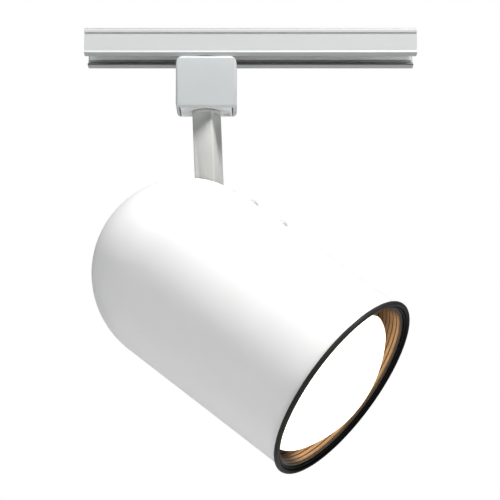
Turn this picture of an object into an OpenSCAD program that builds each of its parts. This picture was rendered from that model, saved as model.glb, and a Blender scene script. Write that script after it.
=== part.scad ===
// Track spotlight: a bullet-shaped lamp head on a short length of surface-mounted track.
// Origin: centre of the track's back face, which lies against the ceiling. +Z is up, the track runs along X,
// and -Y is the side that the head turns towards at rest.

/* [Track] */
// Length of the track section
track_len = 197; // [170:1:400]
// Width across the track
track_w = 35; // [34:0.5:37]
// Height of the track below the ceiling
track_h = 15.3; // [15:0.1:18]
// Width of the slot in the underside
slot_w = 19; // [18.8:0.1:20]
// Distance between the two ceiling screws
ceiling_screw_spacing = 140; // [100:5:160]
// Diameter of each ceiling screw hole
ceiling_screw_hole_d = 4.5; // [4:0.1:5]

/* [Adapter] */
// Place of the adapter along the track
adapter_x = -26.3; // [-70:0.1:70]
// Length of the adapter along the track
adapter_len = 36; // [36:0.1:40]
// Depth of the adapter across the track
adapter_depth = 25; // [25:0.5:28]
// Height of the adapter below the track
adapter_h = 31.3; // [31:0.1:36]

/* [Arm] */
// Distance from the adapter's underside to the tilt pivot, along the arm
arm_len = 64.3; // [62:0.1:80]
// Width of the arm across the head's slot
arm_w = 15; // [13:0.5:15]
// Depth of the arm along the head's slot
arm_d = 13; // [10:0.1:13]
// Forward lean of the arm in degrees
arm_lean = 2.65; // [0:0.1:5]

/* [Head] */
// Outer radius of the shell and of its domed back
shell_r = 56.5; // [56:0.1:60]
// Distance from the dome's centre to the middle of the trim bead
shell_len = 119.9; // [118:0.1:124]
// Turn of the head towards -Y in degrees
head_yaw = 21.3; // [-90:0.1:90]
// Tilt of the head below horizontal in degrees
head_tilt = 36.7; // [0:0.1:90]
// Nose-down sag of the lamp in its bracket in degrees
lamp_sag = 1.25; // [0:0.05:1.4]

/* [Lamp] */
// Largest radius of the reflector lamp
lamp_r = 47.5; // [46:0.1:48]
// Radius of curvature of the lamp's face
face_r = 72.5; // [70:0.5:80]

/* [Hidden] */
$fn = 96;
eps = 0.01;
air = 0.3; // gap between pieces that move past each other
run = 0.06; // radial clearance of a running fit

// Track section
web_t = 1.4;
wall_t = 1.5;
flange_t = 1.4;
corner_r = 0.6;
groove_top = 2.6;
groove_h = 1;
groove_d = 0.9;
lip_r = 1.6; // rounding of the upper lip
lip_angle = 52;
face_step = 0.4; // the face lies this far behind the lip and the rib
rib_h = 1.9;
insulator_t = 3.1;
insulator_top = 3;
insulator_h = 8;
contact_z = -7.5; // height of the conductors
conductor_h = 2.2;
conductor_t = 0.8;
contact_groove_h = 2.8;

// Adapter
adapter_top = -track_h - air;
adapter_bottom = adapter_top - adapter_h;
housing_wall = 2;
housing_top_t = 2.2;
top_round = 4.7;
bottom_round = 3;
edge_round = 1.5;
cavity_len = adapter_len - 2 * housing_wall;
cavity_depth = adapter_depth - 2 * housing_wall;
plate_t = 2.2;
plate_gap = 0.8; // visible slit at each end of the base plate
mast_r = 8.6;
ear_w = track_w - 2 * wall_t - 2 * insulator_t - 1; // across the track, above the flanges
ear_len = 17;
ear_bottom = -track_h + flange_t + air;
ear_t = 4;
mast_top = -3;
mast_flange_r = 10.2;
mast_flange_bottom = adapter_top - housing_top_t - 2.6;
blade_len = 5;
blade_t = 1.4;
tab_x = 12.75; // centre of the lock tab from the adapter's centre
tab_len = 3.5;
tab_w = slot_w - 1.2;
tab_top = -track_h + 2.3;
tab_bottom = tab_top - 11;
tab_travel = 3.4;
spring_len = 9.5;
spring_r = 1.9;
spring_wire = 0.5;
spring_turns = 6;
ledge_t = 2;

// Swivel
stud_r = 6;
stud_bore_r = 4.2;
stud_top = adapter_bottom + 12;
bush_r = 8;
bush_top = adapter_bottom + 3.6;
disc_r = 8.4;
disc_t = 1.4;
disc_top = adapter_bottom - air;
washer_t = 0.6;
nut_t = 4;

// Arm and tilt pivot
arm_wall = 1.1;
arm_corner = 1.2;
arm_end_r = arm_d / 2;
pivot_u = -7.75; // pivot along the head's axis, from the dome's centre
pivot_v = 34.95; // pivot above the head's axis
bolt_r = 2.5;
friction_t = 0.8;
cheek_in = arm_w / 2 + 0.05 + friction_t;
cheek_t = 1.5;
cheek_out = cheek_in + cheek_t;

// Shell and trim
shell_t = 1.2;
shell_in = shell_r - shell_t;
bead_r = 1.5;
bead_ring_r = shell_r + 0.75;
shell_front = shell_len - bead_r;
shell_slot_w = arm_w + 1.8;
shell_slot_back = 52;
shell_slot_low = 25.6;
shell_slot_round = 2.5;
collar_t = 0.6;
collar_len = 6;
baffle_out = shell_in - 0.2 - collar_t - 0.2;
baffle_front = shell_len - 0.7;
baffle_len = 18;
baffle_in_front = baffle_out - 0.9;
baffle_in_back = baffle_out - 2.3;
baffle_pitch = 2.5;
baffle_first = 1;
baffle_grooves = 7;
baffle_groove_w = 0.6;
baffle_groove_d = 0.6;

// Brackets and screws in the head
screw_u = [10.2, 33];
screw_r = 1.6;
screw_head_r = 2.6;
screw_head_h = 1.5;
bracket_top = shell_in - 1.2;
bracket_t = 1.5;
bracket_front = 40;
bracket_back = 3.5;
flange_v = bracket_top - bracket_t - 0.05;
socket_bracket_t = 1.2;
socket_plate_u = 20.9;
socket_plate_r = 22;
socket_screw_y = 17.2;

// Socket and lamp
socket_r = 20;
socket_front = 20.8;
socket_back = -14;
socket_floor = -5;
screw_shell_r = 14;
screw_shell_bore_r = 13.5;
cap_r = 13;
cap_front = 22;
cap_back = -1.5;
tip_back = -4;
glass_t = 1.1;
face_apex = shell_len + 10.8;
edge_round_r = 12; // rounding between the face and the reflector
edge_dist = sqrt(pow(face_r - edge_round_r, 2) - pow(lamp_r - edge_round_r, 2));
face_centre = face_apex - face_r;
edge_u = face_centre + edge_dist;
edge_angle = atan2(lamp_r - edge_round_r, edge_dist);
back_angle = 28; // how far the rounding runs on behind the widest point
neck_r = cap_r - 0.4;

// ---- frames -------------------------------------------------------------------------------------------

// Swivel axis at the adapter's centre: x forward in the head's plane, y across it, z up
module swivel_frame() { translate([adapter_x, 0, 0]) rotate([0, 0, -head_yaw]) children(); }

// Along the arm: origin on the adapter's underside, -z down the arm
module arm_frame() {
  swivel_frame() translate([0, 0, adapter_bottom]) rotate([0, -arm_lean, 0]) children();
}

// Head: origin at the dome's centre, x along the optical axis, z towards the crest
module head_frame() {
  swivel_frame()
    translate([arm_len * sin(arm_lean), 0, adapter_bottom - arm_len * cos(arm_lean)])
      rotate([0, head_tilt, 0])
        translate([-pivot_u, 0, -pivot_v])
          children();
}

// Lamp and socket: the head's frame, sagging nose-down
module lamp_frame() { head_frame() rotate([0, lamp_sag, 0]) children(); }

// Adapter's centre under the track
module adapter_frame() { translate([adapter_x, 0, 0]) children(); }

// ---- shapes -------------------------------------------------------------------------------------------

module rounded_rect(w, h, r) {
  square([w - 2 * r, h], center = true);
  square([w, h - 2 * r], center = true);
  for (x = [-1, 1], y = [-1, 1])
    translate([x * (w / 2 - r), y * (h / 2 - r)]) circle(r);
}

// Solid of revolution about the local x axis, from a profile drawn as [radius, distance along x]
module turned_x() { rotate([0, 90, 0]) rotate_extrude() children(); }

// Round bar along the local x axis, from one distance to another
module bar_x(r, from, to) { translate([from, 0, 0]) rotate([0, 90, 0]) cylinder(r = r, h = to - from); }

module bar_y(r, from, to) { translate([0, to, 0]) rotate([90, 0, 0]) cylinder(r = r, h = to - from); }

module bar_z(r, from, to) { translate([0, 0, from]) cylinder(r = r, h = to - from); }

module box(low, high) { translate(low) cube(high - low); }

module hex_z(across, from, to) { translate([0, 0, from]) cylinder(r = across / sqrt(3), h = to - from, $fn = 6); }

// Pan-head screw along +z, with its head above z = 0 and a cross recess in it
module pan_screw(head_r, head_h, shank_r, shank_len) {
  difference() {
    intersection() {
      cylinder(r = head_r, h = head_h);
      translate([0, 0, head_h - 1.6 * head_r]) sphere(1.6 * head_r);
    }
    for (a = [0, 90])
      rotate([0, 0, a]) translate([-head_r * 0.55, -head_r * 0.1, head_h * 0.5])
        cube([head_r * 1.1, head_r * 0.2, head_h]);
  }
  translate([0, 0, -shank_len]) cylinder(r = shank_r, h = shank_len + eps);
}

// Point on a cubic curve through p[0] and p[3], steered by p[1] and p[2]
function bend(p, t) =
  pow(1 - t, 3) * p[0] + 3 * t * pow(1 - t, 2) * p[1] + 3 * t * t * (1 - t) * p[2] + pow(t, 3) * p[3];

function bends(p, steps = 12) = [for (i = [0 : steps]) bend(p, i / steps)];

// Walls and ends of a swept tube with this many rings
function tube_faces(rings, sides) = concat(
  [for (i = [0 : rings - 2], j = [0 : sides - 1])
    let (k = (j + 1) % sides)
    [i * sides + j, i * sides + k, (i + 1) * sides + k, (i + 1) * sides + j]],
  [[for (j = [sides - 1 : -1 : 0]) j], [for (j = [0 : sides - 1]) (rings - 1) * sides + j]]);

// Round wire through a list of points; across is a direction that the wire never runs along
module wire(points, r, across = [0, 1, 0], sides = 10) {
  last = len(points) - 1;
  rings = [for (i = [0 : last], j = [0 : sides - 1])
    let (run_dir = points[min(i + 1, last)] - points[max(i - 1, 0)],
      u = cross(run_dir, across) / norm(cross(run_dir, across)),
      v = cross(u, run_dir) / norm(run_dir),
      a = 360 * j / sides)
    points[i] + r * (cos(a) * u + sin(a) * v)];
  polyhedron(rings, tube_faces(last + 1, sides));
}

// Round wire wound along +z
module coil(r, wire_r, length, turns, sides = 6, steps = 14) {
  count = turns * steps;
  rings = [for (i = [0 : count], j = [0 : sides - 1])
    let (a = 360 * i / steps, b = 360 * j / sides, q = r + wire_r * cos(b))
    [q * cos(a), q * sin(a), wire_r + (length - 2 * wire_r) * i / count + wire_r * sin(b)]];
  polyhedron(rings, tube_faces(count + 1, sides));
}

// ---- track --------------------------------------------------------------------------------------------

// Points along an arc, from one angle to another
function arc(centre, r, from, to, steps = 8) =
  [for (i = [0 : steps]) let (a = from + (to - from) * i / steps) centre + r * [cos(a), sin(a)]];

// One side of the channel's section, drawn with z upwards, from the ceiling face round to the inside of the web
function channel_side() = let (
    half = track_w / 2,
    inner = half - wall_t,
    ledge = -insulator_top - insulator_h - 0.05)
  concat(
    [[half - lip_r * (1 - cos(lip_angle)), 0]],
    arc([half - lip_r, -lip_r * sin(lip_angle)], lip_r, lip_angle, 0),
    [[half, -groove_top], [half - groove_d, -groove_top], [half - groove_d, -groove_top - groove_h],
      [half - face_step, -groove_top - groove_h], [half - face_step, -track_h + rib_h],
      [half, -track_h + corner_r + 0.3]],
    arc([half - corner_r, -track_h + corner_r], corner_r, 0, -90),
    arc([(slot_w + flange_t) / 2, -track_h + flange_t / 2], flange_t / 2, -90, -270),
    [[inner, -track_h + flange_t], [inner, ledge - 0.95], [inner - 1.2, ledge - 0.95], [inner - 1.2, ledge],
      [inner, ledge], [inner, -web_t]]);

module channel_section() {
  side = channel_side();
  polygon(concat(side, [for (i = [len(side) - 1 : -1 : 0]) [-side[i][0], side[i][1]]]));
}

module track_channel() {
  color("white") difference() {
    rotate([90, 0, 90]) linear_extrude(track_len, center = true) channel_section();
    for (side = [-1, 1])
      translate([side * ceiling_screw_spacing / 2, 0, 0])
        bar_z(ceiling_screw_hole_d / 2, -web_t - 1, 1);
  }
}

// Extruded liner with an open groove for its conductor; side is 1 at the back and -1 at the front
module insulator(side) {
  outer = track_w / 2 - wall_t;
  color("gainsboro") mirror([0, side < 0 ? 1 : 0, 0]) difference() {
    box([-track_len / 2 + 1, outer - insulator_t, -insulator_top - insulator_h],
      [track_len / 2 - 1, outer, -insulator_top]);
    box([-track_len / 2, outer - insulator_t - 1, contact_z - contact_groove_h / 2],
      [track_len / 2, outer - insulator_t + 1.8, contact_z + contact_groove_h / 2]);
  }
}

module insulator_front() { insulator(-1); }
module insulator_back() { insulator(1); }

module conductor(side) {
  seat = track_w / 2 - wall_t - insulator_t + 1.8;
  color("peru") mirror([0, side < 0 ? 1 : 0, 0])
    box([-track_len / 2 + 3, seat - conductor_t, contact_z - conductor_h / 2],
      [track_len / 2 - 3, seat, contact_z + conductor_h / 2]);
}

module conductor_front() { conductor(-1); }
module conductor_back() { conductor(1); }

// ---- adapter ------------------------------------------------------------------------------------------

// Front outline of the housing, with larger rounding at the top
module housing_front() {
  mid = (adapter_top + adapter_bottom) / 2;
  intersection() {
    translate([0, mid - 5]) rounded_rect(adapter_len, adapter_h + 10, top_round);
    translate([0, mid + 5]) rounded_rect(adapter_len, adapter_h + 10, bottom_round);
  }
}

module adapter_housing() {
  color("white") adapter_frame() {
    difference() {
      intersection() {
        rotate([90, 0, 0]) linear_extrude(adapter_depth, center = true) housing_front();
        translate([0, 0, (adapter_top + adapter_bottom) / 2]) rotate([90, 0, 90])
          linear_extrude(adapter_len, center = true) rounded_rect(adapter_depth, adapter_h, edge_round);
        translate([0, 0, adapter_bottom])
          linear_extrude(adapter_h) rounded_rect(adapter_len, adapter_depth, edge_round);
      }
      box([-cavity_len / 2, -cavity_depth / 2, adapter_bottom - 1],
        [cavity_len / 2, cavity_depth / 2, adapter_top - housing_top_t]);
      bar_z(mast_r + 0.05, adapter_top - housing_top_t - 1, adapter_top + 1);
      // openings for the lock slide: through the top, and through the back for its thumb pad
      box([tab_x - tab_len / 2 - air, -tab_w / 2 - air, adapter_top - housing_top_t - 1],
        [tab_x + tab_len / 2 + air, tab_w / 2 + air, adapter_top + 1]);
      box([tab_x - tab_len / 2 - air, cavity_depth / 2 - 1, tab_bottom - tab_travel - air],
        [tab_x + tab_len / 2 + air, adapter_depth, tab_bottom + 3 + air]);
    }
    // seat of the lock spring
    box([tab_x - tab_len / 2 - 0.4, -3, tab_bottom - spring_len - ledge_t],
      [cavity_len / 2 + eps, 3, tab_bottom - spring_len]);
    // posts that the base plate and the mast are screwed to
    translate([11.8, 7.4, 0]) bar_z(2.2, adapter_bottom + plate_t, adapter_bottom + plate_t + 5);
    box([9.6, 7.4, adapter_bottom + plate_t], [14, cavity_depth / 2 + eps, adapter_bottom + plate_t + 5]);
  }
}

module base_plate() {
  color("whitesmoke") adapter_frame() difference() {
    box([-cavity_len / 2 + plate_gap, -cavity_depth / 2 + 0.1, adapter_bottom],
      [cavity_len / 2 - plate_gap, cavity_depth / 2 - 0.1, adapter_bottom + plate_t - 0.05]);
    bar_z(bush_r, adapter_bottom - 1, adapter_bottom + plate_t + 1);
    translate([11.8, 7.4, 0]) bar_z(1.3, adapter_bottom - 1, adapter_bottom + plate_t + 1);
    translate([11.8, 7.4, adapter_bottom]) bar_z(2.5, -1, 1.1);
  }
}

module base_plate_screw() {
  color("dimgray") adapter_frame() translate([11.8, 7.4, adapter_bottom + 1.1])
    mirror([0, 0, 1]) pan_screw(2.4, 1, 1.2, 1.05);
}

// Twist-in mast: round neck through the slot, ears above the flanges, block between the conductors
module contact_mast() {
  color("dimgray") adapter_frame() difference() {
    union() {
      bar_z(mast_r, mast_flange_bottom, ear_bottom + eps);
      intersection() {
        bar_z(mast_flange_r, mast_flange_bottom, adapter_top - housing_top_t - 0.05);
        box([-8.8, -11, -99], [8.8, 11, 0]);
      }
      intersection() {
        box([-ear_len / 2, -ear_w / 2, ear_bottom], [ear_len / 2, ear_w / 2, ear_bottom + ear_t]);
        bar_z(ear_w / 2, -99, 0);
      }
      box([-6, -11, ear_bottom + ear_t - eps], [6, 11, mast_top]);
    }
    bar_z(3.4, mast_flange_bottom - 1, -9.5);
    for (y = [-1, 1]) translate([0, y * 7.4, 0]) bar_z(1.2, mast_flange_bottom - 1, mast_flange_bottom + 6);
    for (y = [-1, 1]) box([-blade_len / 2, min(y * 7, y * 12), contact_z - blade_t / 2],
      [blade_len / 2, max(y * 7, y * 12), contact_z + blade_t / 2]);
  }
}

// Two screws that clamp the contacts' terminals up into the mast
module mast_screws() {
  color("silver") adapter_frame() for (y = [-1, 1])
    translate([0, y * 7.4, mast_flange_bottom]) mirror([0, 0, 1]) pan_screw(2, 1.3, 1.15, 5.5);
}

// Spring blade that reaches sideways to its conductor, with a rounded nose
module blade(side) {
  nose = track_w / 2 - wall_t - insulator_t + 1.8 - conductor_t - air;
  color("goldenrod") adapter_frame() mirror([0, side < 0 ? 1 : 0, 0]) intersection() {
    box([-blade_len / 2, 7, contact_z - blade_t / 2], [blade_len / 2, nose, contact_z + blade_t / 2]);
    translate([0, nose - 6, 0]) bar_z(6, -99, 0);
  }
}

module line_contact() { blade(-1); }
module neutral_contact() { blade(1); }

// Bowed strip on top of the mast that presses on the channel's web
module ground_contact() {
  rise = -web_t - air - mast_top;
  t = 0.4;
  color("gold") adapter_frame() rotate([90, 0, 0]) linear_extrude(5, center = true)
    polygon([[-5.5, mast_top], [-3.5, mast_top], [-3.5 + t, mast_top], [0, mast_top + rise - t],
      [3.5 - t, mast_top], [5.5, mast_top], [5.5, mast_top + t], [3.5, mast_top + t],
      [0.8, mast_top + rise], [-0.8, mast_top + rise], [-3.5, mast_top + t], [-5.5, mast_top + t]]);
}

// Two insulated leads from the mast down to the mouth of the hollow stud
module adapter_leads() {
  color("black") adapter_frame() for (side = [-1, 1])
    wire(bends([[0, side * 1.6, -12], [0, side * 1.6, -26], [side * 5, side * 2, -26],
      [0, side * 1.7, stud_top + 0.6]]), 1.1);
}

module swivel_bush() {
  color("wheat") adapter_frame() difference() {
    union() {
      bar_z(bush_r, adapter_bottom, adapter_bottom + plate_t);
      bar_z(bush_r + 1.5, adapter_bottom + plate_t, bush_top);
    }
    bar_z(stud_r + run, adapter_bottom - 1, bush_top + 1);
  }
}

// Sprung tab that stops the adapter from turning in the slot, with its thumb pad outside the back
module lock_slide() {
  color("whitesmoke") adapter_frame() {
    box([tab_x - tab_len / 2, -tab_w / 2, tab_bottom], [tab_x + tab_len / 2, tab_w / 2, tab_top]);
    box([tab_x - tab_len / 2, tab_w / 2 - eps, tab_bottom],
      [tab_x + tab_len / 2, adapter_depth / 2 + air + eps, tab_bottom + 3]);
    translate([tab_x - 0.6, adapter_depth / 2 + air, tab_bottom + 1.5]) rotate([-90, 0, 0])
      linear_extrude(1.5) rounded_rect(6.6, 8, 1.2);
    for (i = [-1 : 1])
      translate([tab_x - 0.6, adapter_depth / 2 + air + 1.4, tab_bottom + 1.5 + 1.9 * i])
        rotate([0, 90, 0]) cylinder(r = 0.55, h = 5, center = true, $fn = 24);
  }
}

module lock_spring() {
  color("silver") adapter_frame() translate([tab_x, 0, tab_bottom - spring_len + 0.05])
    coil(spring_r - spring_wire / 2, spring_wire / 2, spring_len - 0.1, spring_turns);
}

// ---- arm ----------------------------------------------------------------------------------------------

// Rectangular tube with a round, open lower end that the pivot bolt passes through
module arm_tube() {
  color("white") difference() {
    arm_frame() difference() {
      intersection() {
        translate([0, 0, -arm_len - arm_end_r]) linear_extrude(arm_len + arm_end_r + 2)
          rounded_rect(arm_d, arm_w, arm_corner);
        union() {
          box([-arm_d, -arm_w, -arm_len], [arm_d, arm_w, 9]);
          translate([0, 0, -arm_len]) bar_y(arm_end_r, -arm_w, arm_w);
        }
      }
      translate([0, 0, -arm_len - 20]) linear_extrude(arm_len + 40)
        rounded_rect(arm_d - 2 * arm_wall, arm_w - 2 * arm_wall, 0.4);
      translate([0, 0, -arm_len]) bar_y(bolt_r + run, -arm_w, arm_w);
    }
    swivel_frame() box([-30, -30, disc_top - disc_t], [30, 30, 20]);
  }
}

module swivel_disc() {
  color("white") swivel_frame() difference() {
    bar_z(disc_r, disc_top - disc_t, disc_top);
    bar_z(stud_r, disc_top - disc_t - 1, disc_top + 1);
  }
}

module swivel_stud() {
  color("silver") swivel_frame() difference() {
    bar_z(stud_r, disc_top - disc_t, stud_top);
    bar_z(stud_bore_r, disc_top - disc_t - 1, stud_top + 1);
  }
}

module wave_washer() {
  color("lightgray") swivel_frame() difference() {
    bar_z(stud_r + 2.6, bush_top + air, bush_top + air + washer_t);
    bar_z(stud_r + 0.1, bush_top, bush_top + 2);
  }
}

module swivel_nut() {
  bottom = bush_top + air + washer_t + 0.05;
  color("silver") swivel_frame() difference() {
    hex_z(17, bottom, bottom + nut_t);
    bar_z(stud_r, bottom - 1, bottom + nut_t + 1);
  }
}

module arm_leads() {
  color("black") arm_frame() for (side = [-1, 1])
    wire(concat([[-3.85, side * 1.6, -arm_len - 5.4]],
      bends([[-3.85, side * 1.6, -24], [-3.85, side * 1.6, -14], [0, side * 1.6, -12], [0, side * 1.6, 0]]),
      [[0, side * 1.6, 10]]), 1.1);
}

// ---- head ---------------------------------------------------------------------------------------------

module shell() {
  color("white") head_frame() difference() {
    union() {
      sphere(shell_r);
      bar_x(shell_r, 0, shell_front);
    }
    sphere(shell_in);
    bar_x(shell_in, 0, shell_front + 1);
    // slot for the arm, from the crest back over the dome
    translate([-shell_slot_back / 2, 0, shell_slot_low]) linear_extrude(60)
      rounded_rect(shell_slot_back, shell_slot_w, shell_slot_round);
    for (u = screw_u) translate([u, 0, 0]) bar_z(screw_r + 0.2, 40, 70);
  }
}

// Rolled bead around the mouth, with a collar that plugs into the shell
module trim_ring() {
  color("black") head_frame() turned_x() {
    translate([bead_ring_r, shell_len]) circle(bead_r);
    translate([shell_in - 0.2 - collar_t, shell_len - collar_len]) square([collar_t, collar_len]);
    translate([shell_in - 0.2 - collar_t, shell_len - 0.6]) square([bead_ring_r - shell_in, 1.1]);
  }
}

// Baffle ring, tapering inwards, with grooves turned into its inner face
module baffle() {
  taper = (baffle_in_front - baffle_in_back) / baffle_len;
  color("saddlebrown") head_frame() turned_x() difference() {
    polygon([[baffle_out, baffle_front], [baffle_out, baffle_front - baffle_len],
      [baffle_in_back, baffle_front - baffle_len], [baffle_in_front, baffle_front]]);
    for (i = [0 : baffle_grooves - 1]) {
      depth = baffle_first + baffle_pitch * i;
      translate([baffle_in_front - taper * depth - 1, baffle_front - depth - baffle_groove_w])
        square([1 + baffle_groove_d, baffle_groove_w]);
    }
  }
}

// Clevis: a plate under the crest with two cheeks that hold the pivot bolt
module tilt_bracket() {
  color("silver") head_frame() difference() {
    union() {
      box([bracket_back, -cheek_out, bracket_top - bracket_t], [bracket_front, cheek_out, bracket_top]);
      for (u = screw_u) translate([u, 0, 0]) bar_z(3.6, bracket_top - eps, shell_in - 0.2);
      for (side = [-1, 1]) translate([0, side > 0 ? cheek_out : -cheek_in, 0]) rotate([90, 0, 0])
        linear_extrude(cheek_t) {
          translate([pivot_u, pivot_v]) circle(7);
          polygon([[pivot_u - 6.4, pivot_v + 2.8], [bracket_back, bracket_top],
            [bracket_front - 22, bracket_top], [bracket_front - 22, bracket_top - 5],
            [pivot_u + 5, pivot_v - 4.9]]);
        }
    }
    translate([pivot_u, 0, pivot_v]) bar_y(bolt_r + 0.05, -20, 20);
    for (u = screw_u) translate([u, 0, 0]) bar_z(screw_r, 40, 60);
  }
}

module shell_screws() {
  color("silver") head_frame() for (u = screw_u)
    translate([u, 0, shell_r]) pan_screw(screw_head_r, screw_head_h, screw_r, 9);
}

module pivot_bolt() {
  color("silver") head_frame() translate([pivot_u, 0, pivot_v]) {
    bar_y(bolt_r, -cheek_out - 0.05, cheek_out + 6);
    difference() {
      bar_y(4.6, -cheek_out - 3.4, -cheek_out);
      translate([0, -cheek_out - 1.6, 0]) rotate([90, 0, 0]) cylinder(r = 2.6, h = 4, $fn = 6);
    }
  }
}

module pivot_nut() {
  color("silver") head_frame() translate([pivot_u, cheek_out + 0.05, pivot_v]) rotate([-90, 0, 0])
    difference() {
      hex_z(8, 0, 4);
      bar_z(bolt_r, -1, 5);
    }
}

module friction_washers() {
  color("sienna") head_frame() translate([pivot_u, 0, pivot_v]) for (side = [-1, 1])
    translate([0, side > 0 ? cheek_in - friction_t : -cheek_in, 0])
      difference() {
        bar_y(5.6, 0, friction_t);
        bar_y(bolt_r + 0.05, -1, 2);
      }
}

// Strap from the shell screws down to a ring plate that carries the socket
module socket_bracket() {
  color("silver") {
    head_frame() difference() {
      box([5.5, -7, flange_v - socket_bracket_t], [bracket_front - 1, 7, flange_v]);
      for (u = screw_u) translate([u, 0, 0]) bar_z(screw_r + 0.1, 40, 60);
    }
    lamp_frame() translate([socket_plate_u, 0, 0]) difference() {
      union() {
        rotate([0, 90, 0]) cylinder(r = socket_plate_r, h = socket_bracket_t);
        box([0, -7, 0], [socket_bracket_t, 7, flange_v - 0.6]);
      }
      bar_x(screw_shell_r + 0.4, -1, 5);
      for (side = [-1, 1]) translate([0, side * socket_screw_y, 0]) bar_x(1.6, -1, 5);
    }
  }
}

// Porcelain body: a deep cup for the screw shell
module socket_body() {
  color("ivory") lamp_frame() difference() {
    bar_x(socket_r, socket_back, socket_front);
    bar_x(screw_shell_r + 0.1, socket_floor, socket_front + 1);
    for (side = [-1, 1]) translate([0, side * socket_screw_y, 0]) bar_x(1.45, 8, socket_front + 1);
    for (side = [-1, 1]) translate([0, 0, side * 8]) bar_x(1.3, socket_back - 1, socket_floor - 3);
  }
}

module socket_screws() {
  color("silver") lamp_frame() for (side = [-1, 1])
    translate([socket_plate_u + socket_bracket_t, side * socket_screw_y, 0]) rotate([0, 90, 0])
      pan_screw(2.5, 1.6, 1.45, 12);
}

module screw_shell() {
  color("gold") lamp_frame() difference() {
    bar_x(screw_shell_r, socket_floor + 2.5, socket_front - 0.8);
    bar_x(screw_shell_bore_r, socket_floor, socket_front + 1);
  }
}

// Bent spring tab under the lamp's tip
module centre_contact() {
  color("gold") lamp_frame() {
    box([socket_floor, -2.5, -9], [socket_floor + 0.4, 2.5, -4]);
    box([socket_floor, -2.5, -4.4], [socket_floor + 0.6, 2.5, 4]);
  }
}

// Two leads from below the arm's open end to the terminals on the back of the socket
module socket_leads() {
  color("black") {
    head_frame() for (side = [-1, 1])
      wire(concat(
        bends([[pivot_u + 1, side * 1.6, pivot_v - 9.2], [pivot_u - 6, side * 2.2, pivot_v - 10.6],
          [-21, side * 2.2, side * 2 + 23], [-22, side * 1.6, side * 6 + 3]]),
        bends([[-21, side * 1.4, side * 7 + 1.5], [-20, side * 1, side * 8], [-18, side * 0.5, side * 8],
          [socket_back + 2, 0, side * 8]], 6)), 1.1);
  }
}

// ---- lamp ---------------------------------------------------------------------------------------------

// Outline of the bulb from the neck to the apex, as [radius, distance along the axis], set in by t
function bulb_outline(t) =
  let (round_r = edge_round_r - t)
  concat(
    [[neck_r - t, cap_front - 6], [neck_r - t, cap_front + 2], [14.6 - t, cap_front + 8],
      [17.6 - t, cap_front + 15], [22 - t, cap_front + 24], [28 - t, cap_front + 37],
      [35 - t, cap_front + 53], [41.6 - t, cap_front + 69]],
    [for (i = [0 : 8])
      let (a = 90 + back_angle - i * (90 + back_angle - edge_angle) / 8)
      [lamp_r - edge_round_r + round_r * sin(a), edge_u + round_r * cos(a)]],
    [for (i = [1 : 10])
      let (a = edge_angle * (1 - i / 10))
      [max(0, (face_r - t) * sin(a)), face_centre + (face_r - t) * cos(a)]],
    [[0, cap_front - 6]]);

module lamp_glass() {
  color("lightyellow") lamp_frame() turned_x() difference() {
    polygon(bulb_outline(0));
    polygon(bulb_outline(glass_t));
  }
}

module lamp_cap() {
  color("silver") lamp_frame() difference() {
    union() {
      bar_x(cap_r, cap_back + 1, cap_front);
      turned_x() polygon([[0, cap_back - 0.6], [8, cap_back - 0.6], [cap_r, cap_back + 1.05],
        [0, cap_back + 1.05]]);
    }
    bar_x(neck_r + 0.05, cap_back + 1, cap_front + 1);
    bar_x(5.5, cap_back - 3, cap_back + 3);
  }
}

module lamp_cap_insulator() {
  color("black") lamp_frame() difference() {
    bar_x(5.5, cap_back - 1.2, cap_back + 1.5);
    bar_x(2.6, cap_back - 3, cap_back + 3);
  }
}

module lamp_tip() {
  color("silver") lamp_frame() bar_x(2.6, tip_back, cap_back + 1.5);
}

// Glass stem with two lead wires and the coiled filament between them
module filament_mount() {
  color("gray") lamp_frame() {
    turned_x() polygon([[0, cap_front - 6], [9, cap_front - 6], [4, cap_front + 2], [3, cap_front + 24],
      [0, cap_front + 24]]);
    for (side = [-1, 1])
      wire(bends([[cap_front + 20, side * 1.5, 0], [cap_front + 26, side * 1.5, 0],
        [cap_front + 30, side * 9, 0], [cap_front + 40, side * 9, 0]], 8), 0.45, [0, 0, 1]);
    translate([cap_front + 39.6, 0, 0]) bar_y(0.9, -9.6, 9.6);
  }
}

track_channel();
insulator_front();
insulator_back();
conductor_front();
conductor_back();
adapter_housing();
base_plate();
base_plate_screw();
contact_mast();
mast_screws();
line_contact();
neutral_contact();
ground_contact();
adapter_leads();
swivel_bush();
lock_slide();
lock_spring();
arm_tube();
swivel_disc();
swivel_stud();
swivel_nut();
wave_washer();
arm_leads();
shell();
trim_ring();
baffle();
tilt_bracket();
shell_screws();
pivot_bolt();
pivot_nut();
friction_washers();
socket_bracket();
socket_body();
socket_screws();
screw_shell();
centre_contact();
socket_leads();
lamp_glass();
lamp_cap();
lamp_cap_insulator();
lamp_tip();
filament_mount();
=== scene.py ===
import math

import bmesh
import bpy
from mathutils import Matrix, Vector


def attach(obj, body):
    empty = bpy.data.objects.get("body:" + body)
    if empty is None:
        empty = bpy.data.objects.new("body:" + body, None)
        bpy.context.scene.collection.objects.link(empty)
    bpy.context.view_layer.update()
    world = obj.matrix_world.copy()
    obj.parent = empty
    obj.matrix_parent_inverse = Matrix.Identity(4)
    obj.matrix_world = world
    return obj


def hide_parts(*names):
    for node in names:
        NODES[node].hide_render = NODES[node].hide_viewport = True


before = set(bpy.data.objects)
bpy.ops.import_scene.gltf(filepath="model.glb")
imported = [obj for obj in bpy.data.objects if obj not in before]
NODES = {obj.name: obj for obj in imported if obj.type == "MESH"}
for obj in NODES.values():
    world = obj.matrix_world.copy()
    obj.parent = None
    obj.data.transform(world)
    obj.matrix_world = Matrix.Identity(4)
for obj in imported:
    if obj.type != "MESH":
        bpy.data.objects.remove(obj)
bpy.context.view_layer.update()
MM = 0.001

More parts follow.
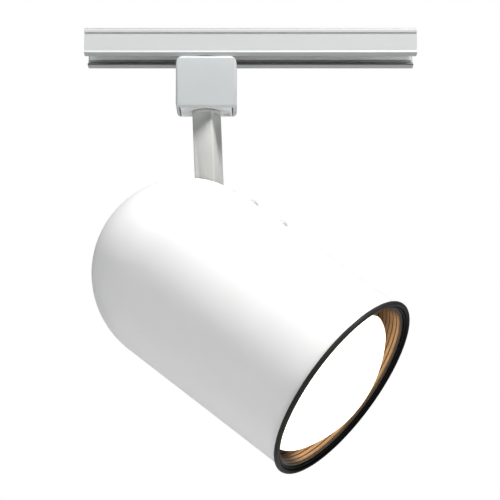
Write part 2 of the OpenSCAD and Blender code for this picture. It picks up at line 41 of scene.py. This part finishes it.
# ---- sizes and places, in millimetres and degrees --------------------------------------------------------
TRACK_LEN, TRACK_W, TRACK_H, SLOT_W = 197.0, 35.0, 15.3, 19.0
TRACK_WALL, TRACK_WEB, FLANGE_T = 1.5, 1.4, 1.4
LIP_R, LIP_ANGLE = 1.6, 52
GROOVE_TOP, GROOVE_H, GROOVE_D = 2.6, 1.0, 0.9
FACE_STEP, CORNER_R, TRACK_EDGE = 0.4, 0.6, 0.15
RIB_TOP, RIB_SOFT, RIB_START, RIB_END, RIB_FULL = 1.5, 0.15, 0.03, 0.04, 0.75
# depth of the painted shade line along the track's top, and its margin past the slot edges
SHADE_LINE_TOP, SHADE_LINE_SLOT = 0.4, 0.3
LEDGE_TOP, LEDGE_T, LEDGE_D = -11.05, 0.95, 1.2
CEILING_HOLE_X, CEILING_HOLE_R = 70, 2.25
ADAPTER_X, ADAPTER_H = -26.3, 31.3
ADAPTER_TOP = -TRACK_H - 0.3
ADAPTER_BOTTOM = ADAPTER_TOP - ADAPTER_H
ARM_LEN, ARM_W, ARM_LEAN = 64.3, 15.0, 2.65
SHELL_R, SHELL_T, SHELL_LEN = 56.5, 1.2, 119.9
SHELL_IN = SHELL_R - SHELL_T
HEAD_YAW, HEAD_TILT, LAMP_SAG = 21.3, 36.7, 1.25
PIVOT_U, PIVOT_V = -7.75, 34.95
SLOT_OPEN_W, SLOT_BACK, SLOT_LOW, SLOT_CORNER_R = ARM_W + 1.8, 52.0, 25.6, 2.5
SCREW_U, SCREW_HOLE_R = (10.2, 33.0), 1.8
SLOT_CUT_TOP, HOLE_CUT_LOW, HOLE_CUT_TOP = 80, 40, 70
BEAD_R, BEAD_RING_R = 1.5, 57.25
COLLAR_GAP, COLLAR_T, COLLAR_LEN = 0.2, 0.6, 6.0
COLLAR_JOIN, DIP_IN, DIP_OUT = 0.9, 0.2, 0.55
BAFFLE_OUT, BAFFLE_FRONT, BAFFLE_LEN = SHELL_IN - 1.0, SHELL_LEN - 0.7, 18.0
BAFFLE_R_FRONT, BAFFLE_R_BACK = BAFFLE_OUT - 0.9, BAFFLE_OUT - 2.3
GROOVES, GROOVE_FIRST, GROOVE_PITCH, GROOVE_W, GROOVE_DEEP = 7, 1.0, 2.5, 0.6, 0.6
BREAK_RISE, BREAK_DROP, BREAK_LEN, WALL_LEAN = 0.02, 0.15, 0.18, 0.12
LAMP_R, FACE_R, CAP_FRONT = 47.5, 72.5, 22.0
EDGE_ROUND, GLASS_T = 12.0, 1.1
FACE_APEX = SHELL_LEN + 10.8


def turn(axis, degrees):
    return Matrix.Rotation(math.radians(degrees), 4, axis)


def shift(x, y, z):
    return Matrix.Translation((x, y, z))


SWIVEL = shift(ADAPTER_X, 0, 0) @ turn("Z", -HEAD_YAW)
lean = math.radians(ARM_LEAN)
HEAD = (SWIVEL @ shift(ARM_LEN * math.sin(lean), 0, ADAPTER_BOTTOM - ARM_LEN * math.cos(lean))
        @ turn("Y", HEAD_TILT) @ shift(-PIVOT_U, 0, -PIVOT_V))
LAMP = HEAD @ turn("Y", LAMP_SAG)
WORLD = Matrix.Identity(4)


# ---- materials ------------------------------------------------------------------------------------------
ALONG_X = (0.1, 1, 1)
BUMP_DEPTH = 0.0002


def material(name, colour, rough, metallic=0.0, vary=0.03, vary_scale=60.0, rough_vary=0.05, bump=0.0,
             bump_scale=900.0, stretch=(1, 1, 1), coat=0.0, coat_rough=0.1, spec=0.5):
    """Principled surface with mottled colour and roughness and a fine bump."""
    mat = bpy.data.materials.new(name)
    mat.use_nodes = True
    tree = mat.node_tree
    nodes, links = tree.nodes, tree.links
    shader = nodes["Principled BSDF"]
    shader.inputs["Metallic"].default_value = metallic
    shader.inputs["IOR"].default_value = 1.5
    shader.inputs["Specular IOR Level"].default_value = spec
    shader.inputs["Coat Weight"].default_value = coat
    shader.inputs["Coat Roughness"].default_value = coat_rough
    coords = nodes.new("ShaderNodeTexCoord")
    mapping = nodes.new("ShaderNodeMapping")
    mapping.inputs["Scale"].default_value = stretch
    links.new(coords.outputs["Object"], mapping.inputs["Vector"])

    def noise(scale, detail=4.0):
        node = nodes.new("ShaderNodeTexNoise")
        node.inputs["Scale"].default_value = scale
        node.inputs["Detail"].default_value = detail
        links.new(mapping.outputs["Vector"], node.inputs["Vector"])
        return node

    mottle = noise(vary_scale)
    ramp = nodes.new("ShaderNodeValToRGB")
    ramp.color_ramp.elements[0].position = 0.3
    ramp.color_ramp.elements[1].position = 0.7
    ramp.color_ramp.elements[0].color = [c * (1 - vary) for c in colour] + [1]
    ramp.color_ramp.elements[1].color = [min(1, c * (1 + vary)) for c in colour] + [1]
    links.new(mottle.outputs["Fac"], ramp.inputs["Fac"])
    links.new(ramp.outputs["Color"], shader.inputs["Base Color"])
    spread = nodes.new("ShaderNodeMapRange")
    spread.inputs["To Min"].default_value = max(0.02, rough - rough_vary)
    spread.inputs["To Max"].default_value = min(1, rough + rough_vary)
    links.new(noise(vary_scale * 3).outputs["Fac"], spread.inputs["Value"])
    links.new(spread.outputs["Result"], shader.inputs["Roughness"])
    if bump:
        node = nodes.new("ShaderNodeBump")
        node.inputs["Strength"].default_value = bump
        node.inputs["Distance"].default_value = BUMP_DEPTH
        links.new(noise(bump_scale, 2.0).outputs["Fac"], node.inputs["Height"])
        links.new(node.outputs["Normal"], shader.inputs["Normal"])
    return mat


M = {
    "shell": material("shell_paint", (0.90, 0.90, 0.89), 0.38, vary=0.008, bump=0.10, bump_scale=1400,
                      coat=0.15),
    "arm": material("arm_paint", (0.555, 0.56, 0.535), 0.42, vary=0.01, bump=0.12, bump_scale=1600, coat=0.1),
    "track": material("track_paint", (0.645, 0.66, 0.65), 0.40, vary=0.012, bump=0.10, bump_scale=1200,
                      stretch=ALONG_X, coat=0.1),
    "plate": material("plate_plastic", (0.84, 0.86, 0.85), 0.40, vary=0.01, bump=0.10, bump_scale=2200),
    "adapter": material("adapter_plastic", (0.575, 0.60, 0.60), 0.36, vary=0.008, bump=0.10, bump_scale=2200),
    # painted shade inside the track channel
    "inner_shade": material("track_inner_shade", (0.48, 0.49, 0.49), 0.6, vary=0.08, bump=0.1, stretch=ALONG_X),
    # painted shade on the track's undersides
    "underside_shade": material("track_underside_shade", (0.36, 0.375, 0.37), 0.45, vary=0.03, bump=0.1,
                           stretch=ALONG_X),
    # painted shade along the track's top and slot edges
    "edge_shade": material("track_edge_shade", (0.13, 0.135, 0.13), 0.5, vary=0.05, bump=0.1, stretch=ALONG_X),
    "liner": material("liner_plastic", (0.84, 0.86, 0.85), 0.55, vary=0.04, bump=0.1, stretch=(0.05, 1, 1)),
    "copper": material("copper", (0.62, 0.28, 0.15), 0.30, metallic=1, vary=0.12, vary_scale=200,
                       stretch=(0.03, 1, 1), bump=0.1),
    "brass": material("brass", (0.70, 0.50, 0.20), 0.28, metallic=1, vary=0.08, vary_scale=300, bump=0.08),
    "zinc": material("zinc", (0.52, 0.52, 0.54), 0.34, metallic=1, vary=0.10, vary_scale=400, bump=0.15,
                     rough_vary=0.1),
    "screw": material("screw_steel", (0.56, 0.56, 0.57), 0.30, metallic=1, vary=0.10, vary_scale=900,
                      bump=0.1, rough_vary=0.1),
    "plated": material("plated_screw", (0.72, 0.72, 0.70), 0.32, metallic=0.3, vary=0.06, vary_scale=900,
                       bump=0.1, rough_vary=0.1),
    "mast": material("mast_plastic", (0.06, 0.06, 0.065), 0.5, vary=0.1, bump=0.2),
    "wire": material("wire_insulation", (0.015, 0.015, 0.016), 0.45, vary=0.2, bump=0.2, stretch=(1, 1, 0.2)),
    "bush": material("bush_nylon", (0.62, 0.55, 0.40), 0.45, vary=0.05, bump=0.1),
    "fibre": material("fibre", (0.20, 0.10, 0.06), 0.75, vary=0.25, vary_scale=900, bump=0.5),
    "porcelain": material("porcelain", (0.74, 0.71, 0.64), 0.16, vary=0.03, coat=0.6, bump=0.06,
                          bump_scale=300),
    "bead": material("bead_black", (0.032, 0.032, 0.03), 0.35, vary=0.15, bump=0.04, bump_scale=500,
                     spec=0.05, coat_rough=0.05),
    "cap": material("cap_metal", (0.60, 0.58, 0.52), 0.32, metallic=1, vary=0.08, vary_scale=300, bump=0.1),
    "black_glass": material("black_glass", (0.01, 0.01, 0.015), 0.08, vary=0.2, bump=0.05),
    "tungsten": material("tungsten", (0.25, 0.25, 0.26), 0.4, metallic=1, vary=0.1, bump=0.1),
    "silvering": material("silvering", (0.76, 0.76, 0.74), 0.30, metallic=0.35, vary=0.05, vary_scale=80,
                          bump=0.1, bump_scale=150),
    # painted shade in the baffle's grooves
    "groove": material("baffle_groove_shade", (0.16, 0.075, 0.025), 0.6, vary=0.2, vary_scale=300, bump=0.1),
    # the baffle's bronze is partly its own tone and partly painted warm lamp light
    "baffle": material("baffle_bronze", (0.46, 0.265, 0.12), 0.42, metallic=0.35, vary=0.10, vary_scale=300,
                       bump=0.15, bump_scale=700, coat=0.1),
}
FACE_COLOUR, FACE_GLOW = (1.0, 0.93, 0.80), 1.6


def painted_shade_fade(mat, place, start, end, black=(0.006, 0.006, 0.006)):
    """Painted shade: fade from black at start to the material's own colour at end, in millimetres along the
    frame's x.
    """
    nodes, links = mat.node_tree.nodes, mat.node_tree.links
    shader = nodes["Principled BSDF"]
    axis = place.to_3x3() @ Vector((1, 0, 0))
    coords = nodes.new("ShaderNodeTexCoord")
    along = nodes.new("ShaderNodeVectorMath")
    along.operation = "DOT_PRODUCT"
    along.inputs[1].default_value = axis
    links.new(coords.outputs["Object"], along.inputs[0])
    offset = axis.dot(place.translation)
    fade = nodes.new("ShaderNodeMapRange")
    fade.interpolation_type = "SMOOTHSTEP"
    fade.inputs["From Min"].default_value = (offset + start) * MM
    fade.inputs["From Max"].default_value = (offset + end) * MM
    links.new(along.outputs["Value"], fade.inputs["Value"])
    mix = nodes.new("ShaderNodeMix")
    mix.data_type = "RGBA"
    mix.inputs["A"].default_value = [*black, 1]
    links.new(fade.outputs["Result"], mix.inputs["Factor"])
    links.new(shader.inputs["Base Color"].links[0].from_socket, mix.inputs["B"])
    links.new(mix.outputs["Result"], shader.inputs["Base Color"])


# painted shade: the baffle darkens towards the rim and towards its near side, the bead towards its far side
RIM_SHADE, SIDE_SHADE, BEAD_SHADE = (SHELL_LEN - 1.0, SHELL_LEN - 4.2), (8, 24), (15, -30)
across = HEAD @ turn("Z", 90)
painted_shade_fade(M["baffle"], HEAD, *RIM_SHADE)
painted_shade_fade(M["baffle"], across, *SIDE_SHADE)
painted_shade_fade(M["bead"], across, *BEAD_SHADE, (0.002, 0.002, 0.002))


def glowing(name, colour, strength):
    """Frosted glass lit from inside, a little mottled."""
    mat = bpy.data.materials.new(name)
    mat.use_nodes = True
    nodes, links = mat.node_tree.nodes, mat.node_tree.links
    shader = nodes["Principled BSDF"]
    shader.inputs["Base Color"].default_value = (0.9, 0.88, 0.82, 1)
    shader.inputs["Roughness"].default_value = 0.45
    shader.inputs["Emission Strength"].default_value = strength
    coords = nodes.new("ShaderNodeTexCoord")
    noise = nodes.new("ShaderNodeTexNoise")
    noise.inputs["Scale"].default_value = 900
    ramp = nodes.new("ShaderNodeValToRGB")
    ramp.color_ramp.elements[0].color = [c * 0.96 for c in colour] + [1]
    ramp.color_ramp.elements[1].color = [*colour, 1]
    links.new(coords.outputs["Object"], noise.inputs["Vector"])
    links.new(noise.outputs["Fac"], ramp.inputs["Fac"])
    links.new(ramp.outputs["Color"], shader.inputs["Emission Color"])
    bump = nodes.new("ShaderNodeBump")
    bump.inputs["Strength"].default_value = 0.3
    bump.inputs["Distance"].default_value = BUMP_DEPTH
    links.new(noise.outputs["Fac"], bump.inputs["Height"])
    links.new(bump.outputs["Normal"], shader.inputs["Normal"])
    return mat


M["face"] = glowing("lamp_face", FACE_COLOUR, FACE_GLOW)


# ---- mesh tools -----------------------------------------------------------------------------------------
def add(name, bm, mat, place=WORLD, smooth=35):
    """Mesh object from a bmesh in millimetres, in its frame."""
    bmesh.ops.remove_doubles(bm, verts=bm.verts, dist=1e-4)
    bmesh.ops.recalc_face_normals(bm, faces=bm.faces)
    mesh = bpy.data.meshes.new(name)
    bm.to_mesh(mesh)
    bm.free()
    mesh.transform(Matrix.Scale(MM, 4) @ place)
    obj = bpy.data.objects.new(name, mesh)
    bpy.context.scene.collection.objects.link(obj)
    mesh.materials.append(mat)
    mesh.shade_smooth()
    mesh.set_sharp_from_angle(angle=math.radians(smooth))
    return obj


def lathe(profile, steps=192, closed=True):
    """Solid turned about x from a closed outline of (radius, x)."""
    bm = bmesh.new()
    rings = []
    for r, x in profile:
        if r < 1e-6:
            rings.append([bm.verts.new((x, 0, 0))] * steps)
            continue
        turns = [2 * math.pi * i / steps for i in range(steps)]
        rings.append([bm.verts.new((x, r * math.sin(a), r * math.cos(a))) for a in turns])
    pairs = list(zip(rings, rings[1:] + rings[:1])) if closed else list(zip(rings, rings[1:]))
    for a, b in pairs:
        for i in range(steps):
            j = (i + 1) % steps
            corners = []
            for v in (a[i], a[j], b[j], b[i]):
                if v not in corners:
                    corners.append(v)
            if len(corners) > 2:
                bm.faces.new(corners)
    return bm


def arc(cx, cy, r, start, end, steps):
    return [(cx + r * math.cos(math.radians(start + (end - start) * i / steps)),
             cy + r * math.sin(math.radians(start + (end - start) * i / steps))) for i in range(steps + 1)]


def apply_modifiers(obj):
    depsgraph = bpy.context.evaluated_depsgraph_get()
    mesh = bpy.data.meshes.new_from_object(obj.evaluated_get(depsgraph))
    obj.modifiers.clear()
    obj.data = mesh
    return obj


def cut(obj, *cutters):
    for cutter in cutters:
        mod = obj.modifiers.new("cut", "BOOLEAN")
        mod.operation = "DIFFERENCE"
        mod.solver = "EXACT"
        mod.object = cutter
    apply_modifiers(obj)
    for cutter in cutters:
        bpy.data.objects.remove(cutter)
    return obj


def bevel(obj, width, segments):
    mod = obj.modifiers.new("edges", "BEVEL")
    mod.width = width * MM
    mod.segments = segments
    mod.limit_method = "ANGLE"
    mod.angle_limit = math.radians(35)
    mod.harden_normals = True
    return apply_modifiers(obj)


def weigh(obj):
    """Flat faces keep flat shading beside their rounded edges."""
    mod = obj.modifiers.new("normals", "WEIGHTED_NORMAL")
    mod.keep_sharp = True
    mod.weight = 100
    return apply_modifiers(obj)


def prism(outline, low, high, axis="z"):
    """Solid from a closed 2-D outline, extruded from low to high along x or z."""
    bm = bmesh.new()
    ends = [[bm.verts.new((c, a, b) if axis == "x" else (a, b, c)) for a, b in outline] for c in (low, high)]
    bm.faces.new(ends[0])
    bm.faces.new(ends[1][::-1])
    count = len(outline)
    for i in range(count):
        j = (i + 1) % count
        bm.faces.new((ends[0][i], ends[0][j], ends[1][j], ends[1][i]))
    return bm


def drill(place, r, low, high, mat):
    """Round cutter along the frame's z."""
    bm = lathe([(0, low), (r, low), (r, high), (0, high)], 48, closed=False)
    return add("hole", bm, mat, place @ turn("Y", -90))


def rounded(w, h, r):
    """Outline of a rounded rectangle centred on the origin."""
    points = []
    for sx, sy, start in ((1, 1, 0), (-1, 1, 90), (-1, -1, 180), (1, -1, 270)):
        points += arc(sx * (w / 2 - r), sy * (h / 2 - r), r, start, start + 90, 10)
    return points


def keep(obj, body, nodes):
    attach(obj, body)
    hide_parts(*nodes)


# ---- track ----------------------------------------------------------------------------------------------
def track():
    half, inner, bottom = TRACK_W / 2, TRACK_W / 2 - TRACK_WALL, -TRACK_H
    face, groove_low = half - FACE_STEP, -GROOVE_TOP - GROOVE_H
    edge, flange_r = TRACK_EDGE, FLANGE_T / 2
    side = arc(half - LIP_R, -LIP_R * math.sin(math.radians(LIP_ANGLE)), LIP_R, LIP_ANGLE, 0, 8)
    side += arc(half - edge, -GROOVE_TOP + edge, edge, 0, -90, 4)
    side += [(half - GROOVE_D, -GROOVE_TOP), (half - GROOVE_D, groove_low)]
    side += arc(face - edge, groove_low - edge, edge, 90, 0, 4)
    # a soft start where the rib leaves the face, and a soft end where it is full
    side += [(face, bottom + RIB_TOP), (face + RIB_START, bottom + RIB_TOP - RIB_SOFT),
             (half - RIB_END, bottom + RIB_FULL)]
    side += arc(half - CORNER_R, bottom + CORNER_R, CORNER_R, 0, -90, 10)
    side += arc(SLOT_W / 2 + flange_r, bottom + flange_r, flange_r, -90, -270, 12)
    side += [(inner, bottom + FLANGE_T), (inner, LEDGE_TOP - LEDGE_T), (inner - LEDGE_D, LEDGE_TOP - LEDGE_T),
             (inner - LEDGE_D, LEDGE_TOP), (inner, LEDGE_TOP), (inner, -TRACK_WEB)]
    outline = side + [(-y, z) for y, z in reversed(side)]
    obj = add("track_extrusion", prism(outline, -TRACK_LEN / 2, TRACK_LEN / 2, "x"), M["track"])
    holes = [shift(x, 0, 0) for x in (-CEILING_HOLE_X, CEILING_HOLE_X)]
    cut(obj, *[drill(place, CEILING_HOLE_R, -2 * TRACK_WEB, TRACK_WEB, M["track"]) for place in holes])
    # painted shade: the inside, the undersides, and the top and slot edges are darker than the paint
    for mat in ("inner_shade", "underside_shade", "edge_shade"):
        obj.data.materials.append(M[mat])
    inner_shade, underside, shaded_edge = 1, 2, 3
    margin = 0.1
    for poly in obj.data.polygons:
        _, y, z = poly.center / MM
        if abs(y) <= inner + 0.01 and bottom + FLANGE_T - margin / 2 < z < -TRACK_WEB + margin:
            poly.material_index = inner_shade
        elif (-SHADE_LINE_TOP < z < -0.01 and abs(y) > inner) or abs(y) < SLOT_W / 2 + SHADE_LINE_SLOT:
            poly.material_index = shaded_edge
        elif z < bottom + margin:
            poly.material_index = underside
    weigh(obj)
    keep(obj, "track", ["track_channel"])


track()
for node, mat in (("insulator_front", "liner"), ("insulator_back", "liner"), ("conductor_front", "copper"),
                  ("conductor_back", "copper")):
    NODES[node].data.materials.clear()
    NODES[node].data.materials.append(M[mat])


# ---- refined copies of CAD pieces -----------------------------------------------------------------------
def refine(node, body, mat, width, segments=2):
    """New piece from a CAD node's own shape, with its flat faces merged and its edges rounded."""
    bm = bmesh.new()
    bm.from_mesh(NODES[node].data)
    bmesh.ops.remove_doubles(bm, verts=bm.verts, dist=1e-6)
    bmesh.ops.dissolve_limit(bm, angle_limit=math.radians(0.5), verts=bm.verts, edges=bm.edges)
    bmesh.ops.scale(bm, vec=(1000, 1000, 1000), verts=bm.verts)
    obj = add("fine_" + node, bm, M[mat])
    bevel(obj, width, segments)
    obj.data.shade_smooth()
    obj.data.set_sharp_from_angle(angle=math.radians(40))
    keep(obj, body, [node])


refine("adapter_housing", "adapter", "adapter", 0.25, segments=3)
refine("base_plate", "adapter", "plate", 0.2)
refine("base_plate_screw", "adapter", "screw", 0.06)
refine("contact_mast", "adapter", "mast", 0.2)
refine("mast_screws", "adapter", "screw", 0.05)
refine("line_contact", "adapter", "brass", 0.1)
refine("neutral_contact", "adapter", "brass", 0.1)
refine("ground_contact", "adapter", "brass", 0.05)
refine("swivel_bush", "adapter", "bush", 0.15)
refine("lock_slide", "lock", "adapter", 0.2)
refine("swivel_nut", "arm", "zinc", 0.25)
refine("swivel_stud", "arm", "zinc", 0.2)
refine("wave_washer", "arm", "zinc", 0.08)
refine("swivel_disc", "arm", "arm", 0.2)
refine("arm_tube", "arm", "arm", 0.15)
refine("tilt_bracket", "head", "zinc", 0.2)
refine("shell_screws", "head", "plated", 0.06)
refine("pivot_bolt", "head", "zinc", 0.2)
refine("pivot_nut", "head", "zinc", 0.2)
refine("friction_washers", "head", "fibre", 0.08)
refine("socket_bracket", "head", "zinc", 0.15)
refine("socket_body", "head", "porcelain", 0.5, segments=3)
refine("socket_screws", "head", "zinc", 0.05)
refine("screw_shell", "head", "brass", 0.1)
refine("centre_contact", "head", "brass", 0.08)
refine("lamp_tip", "lamp", "cap", 0.3)
refine("lamp_cap_insulator", "lamp", "black_glass", 0.2)
refine("lamp_cap", "lamp", "cap", 0.2)
for node, mat in (("adapter_leads", "wire"), ("arm_leads", "wire"), ("socket_leads", "wire"),
                  ("lock_spring", "zinc"), ("filament_mount", "tungsten")):
    NODES[node].data.materials.clear()
    NODES[node].data.materials.append(M[mat])
    NODES[node].data.shade_smooth()


# ---- head -----------------------------------------------------------------------------------------------
def shell():
    side_rings, dome_rings, steps = 24, 36, 256
    front = SHELL_LEN - BEAD_R

    def skin(r):
        """Outline from the mouth to the pole of the dome."""
        side = [(r, front * i / side_rings) for i in range(side_rings, 0, -1)]
        quarter = [math.radians(90 * i / dome_rings) for i in range(dome_rings)]
        return side + [(r * math.cos(a), -r * math.sin(a)) for a in quarter] + [(0, -r)]

    # two skins, joined at the mouth; the poles are separate points
    bm = lathe(skin(SHELL_R), steps, closed=False)
    other = lathe(skin(SHELL_IN)[::-1], steps, closed=False)
    mesh = bpy.data.meshes.new("inner_skin")
    other.to_mesh(mesh)
    other.free()
    bm.from_mesh(mesh)
    bpy.data.meshes.remove(mesh)
    bmesh.ops.remove_doubles(bm, verts=bm.verts, dist=1e-4)
    bmesh.ops.bridge_loops(bm, edges=[e for e in bm.edges if e.is_boundary])
    obj = add("shell_spun", bm, M["shell"], HEAD)
    outline = [(x - SLOT_BACK / 2, y) for x, y in rounded(SLOT_BACK, SLOT_OPEN_W, SLOT_CORNER_R)]
    cutters = [add("slot", prism(outline, SLOT_LOW, SLOT_CUT_TOP), M["shell"], HEAD)]
    for u in SCREW_U:
        cutters.append(drill(HEAD @ shift(u, 0, 0), SCREW_HOLE_R, HOLE_CUT_LOW, HOLE_CUT_TOP, M["shell"]))
    cut(obj, *cutters)
    obj.data.shade_smooth()
    obj.data.set_sharp_from_angle(angle=math.radians(30))
    keep(obj, "head", ["shell"])


shell()


def trim_ring():
    outer = SHELL_IN - COLLAR_GAP
    inner, back = outer - COLLAR_T, SHELL_LEN - COLLAR_LEN
    # the collar meets the bead in a shallow dip at the front
    profile = arc(BEAD_RING_R, SHELL_LEN, BEAD_R, -60, 215, 36)
    profile += [(outer, SHELL_LEN - COLLAR_JOIN), (outer, back), (inner, back),
                (inner, SHELL_LEN + DIP_IN), (outer, SHELL_LEN + DIP_OUT)]
    keep(add("mouth_bead", lathe(profile, 288), M["bead"], HEAD, 50), "head", ["trim_ring"])


def baffle():
    def wall(depth):
        return BAFFLE_R_FRONT + (BAFFLE_R_BACK - BAFFLE_R_FRONT) * depth / BAFFLE_LEN

    front, back = BAFFLE_FRONT, BAFFLE_FRONT - BAFFLE_LEN
    profile = [(BAFFLE_OUT, front), (BAFFLE_OUT, back), (wall(BAFFLE_LEN), back)]
    for i in reversed(range(GROOVES)):
        # each groove has a broken edge at both sides and walls that lean in
        near = GROOVE_FIRST + GROOVE_PITCH * i
        far = near + GROOVE_W
        profile += [(wall(far) + BREAK_RISE, front - far - BREAK_LEN), (wall(far) + BREAK_DROP, front - far),
                    (wall(far) + GROOVE_DEEP, front - far + WALL_LEAN),
                    (wall(near) + GROOVE_DEEP, front - near - WALL_LEAN),
                    (wall(near) + BREAK_DROP, front - near),
                    (wall(near) + BREAK_RISE, front - near + BREAK_LEN)]
    profile.append((wall(0), front))
    obj = add("grooved_baffle", lathe(profile, 288), M["baffle"], HEAD, 30)
    # the groove faces get the darker colour, painted shade in the grooves
    obj.data.materials.append(M["groove"])
    to_head, margin = HEAD.inverted(), 0.1
    for poly in obj.data.polygons:
        u, v, w = to_head @ (poly.center / MM)
        inside = back + margin < u < front - margin
        if inside and wall(front - u) + margin < math.hypot(v, w) < BAFFLE_OUT - margin / 2:
            poly.material_index = 1
    keep(obj, "head", ["baffle"])


trim_ring()
baffle()


# ---- lamp -----------------------------------------------------------------------------------------------
def lamp():
    reach = LAMP_R - EDGE_ROUND
    dist = math.sqrt((FACE_R - EDGE_ROUND) ** 2 - reach ** 2)
    centre = FACE_APEX - FACE_R
    edge_u = centre + dist
    edge_angle = math.degrees(math.atan2(reach, dist))
    edge_steps, face_steps = 24, 32
    neck = [(12.6, -6), (12.6, 2), (14.6, 8), (17.6, 15), (22, 24), (28, 37), (35, 53), (41.6, 69)]

    def outline(t):
        r = EDGE_ROUND - t
        points = [(a - t, CAP_FRONT + b) for a, b in neck]
        start, last = 118, edge_angle
        for i in range(edge_steps + 1):
            a = math.radians(start - i * (start - last) / edge_steps)
            points.append((reach + r * math.sin(a), edge_u + r * math.cos(a)))
        for i in range(1, face_steps + 1):
            a = math.radians(edge_angle * (1 - i / face_steps))
            points.append((max(0, (FACE_R - t) * math.sin(a)), centre + (FACE_R - t) * math.cos(a)))
        return points

    outer, inner = outline(0), outline(GLASS_T)
    split = len(neck) + 14  # first ring of the frosted face
    for name, a, b, mat in (("lamp_reflector", outer[:split + 1], inner[:split + 1], "silvering"),
                            ("lamp_face", outer[split:], inner[split:], "face")):
        profile = a + b[::-1]
        piece = add(name, lathe(profile, 192), M[mat], LAMP, 40)
        keep(piece, "lamp", ["lamp_glass"])


lamp()


# ---- stage ----------------------------------------------------------------------------------------------
FLOOR_HALF, FLOOR_Z = 1000, -520
FILL_BELOW, FILL_ABOVE, FILL_REACH = 0.78, 0.0, 0.6
AIM = Vector((0, 0, -0.12))
LAMP_DISTANCE = 1.7
# name, degrees right of the camera, degrees up, diameter, watts
LIGHTS = (("key", 38, 66, 0.4, 35), ("left", -60, 58, 0.5, 11), ("front", 45, 12, 0.8, 4))
CAMERA_AT, CAMERA_PITCH, CAMERA_LENS = (-0.000327, -1.10625, -0.326448), 100.0428, 137.265


def studio_floor():
    bm = bmesh.new()
    bmesh.ops.create_grid(bm, x_segments=8, y_segments=8, size=FLOOR_HALF)
    paper = material("floor_paper", (0.82, 0.82, 0.82), 0.8, vary=0.01, vary_scale=3)
    floor = add("floor", bm, paper, shift(0, 0, FLOOR_Z))


def studio_world():
    """The background is seen as white, and the object gets a dimmer fill that is strongest from below."""
    world = bpy.data.worlds.new("studio")
    bpy.context.scene.world = world
    world.use_nodes = True
    nodes, links = world.node_tree.nodes, world.node_tree.links
    nodes.clear()
    out = nodes.new("ShaderNodeOutputWorld")
    mix = nodes.new("ShaderNodeMixShader")
    path = nodes.new("ShaderNodeLightPath")
    seen = nodes.new("ShaderNodeBackground")
    seen.inputs["Color"].default_value = (1, 1, 1, 1)
    coords = nodes.new("ShaderNodeTexCoord")
    split = nodes.new("ShaderNodeSeparateXYZ")
    height = nodes.new("ShaderNodeMapRange")
    height.inputs["From Min"].default_value = -FILL_REACH
    height.inputs["From Max"].default_value = FILL_REACH
    height.inputs["To Min"].default_value = FILL_BELOW
    height.inputs["To Max"].default_value = FILL_ABOVE
    links.new(coords.outputs["Generated"], split.inputs["Vector"])
    links.new(split.outputs["Z"], height.inputs["Value"])
    fill = nodes.new("ShaderNodeBackground")
    fill.inputs["Color"].default_value = (0.96, 0.98, 1, 1)
    links.new(height.outputs["Result"], fill.inputs["Strength"])
    links.new(path.outputs["Is Camera Ray"], mix.inputs["Fac"])
    links.new(fill.outputs["Background"], mix.inputs[1])
    links.new(seen.outputs["Background"], mix.inputs[2])
    links.new(mix.outputs["Shader"], out.inputs["Surface"])


def track_groups():
    """The track's pieces, as a light-linking collection that takes them in and one that leaves them out."""
    names = ("insulator_front", "insulator_back", "conductor_front", "conductor_back")
    parts = [bpy.data.objects["track_extrusion"]] + [NODES[name] for name in names]
    groups = {}
    for state in ("INCLUDE", "EXCLUDE"):
        groups[state] = bpy.data.collections.new("track_" + state.lower())
        for obj in parts:
            groups[state].objects.link(obj)
        for item in groups[state].collection_objects:
            item.light_linking.link_state = state
    return groups


def studio_lights():
    """Each lamp is a pair, for the track and past it, so the track casts no shadow on the rest."""
    groups = track_groups()
    for name, azimuth, elevation, size, power in LIGHTS:
        az, el = math.radians(azimuth), math.radians(elevation)
        towards = Vector((math.sin(az) * math.cos(el), -math.cos(az) * math.cos(el), math.sin(el)))
        place = AIM + LAMP_DISTANCE * towards
        for state in groups:
            light = bpy.data.lights.new(name, "AREA")
            light.shape = "DISK"
            light.size = size
            light.energy = power
            obj = bpy.data.objects.new(name, light)
            obj.location = place
            obj.rotation_euler = (AIM - place).to_track_quat("-Z", "Y").to_euler()
            obj.light_linking.receiver_collection = groups[state]
            if state == "EXCLUDE":
                obj.light_linking.blocker_collection = groups[state]
            bpy.context.scene.collection.objects.link(obj)


def studio_camera():
    camera = bpy.data.cameras.new("camera")
    camera.sensor_width = 36
    camera.lens = CAMERA_LENS
    obj = bpy.data.objects.new("camera", camera)
    obj.location = CAMERA_AT
    obj.rotation_euler = (math.radians(CAMERA_PITCH), 0, 0)
    bpy.context.scene.collection.objects.link(obj)
    bpy.context.scene.camera = obj
    bpy.context.scene.view_settings.view_transform = "Standard"


studio_floor()
studio_world()
studio_lights()
studio_camera()
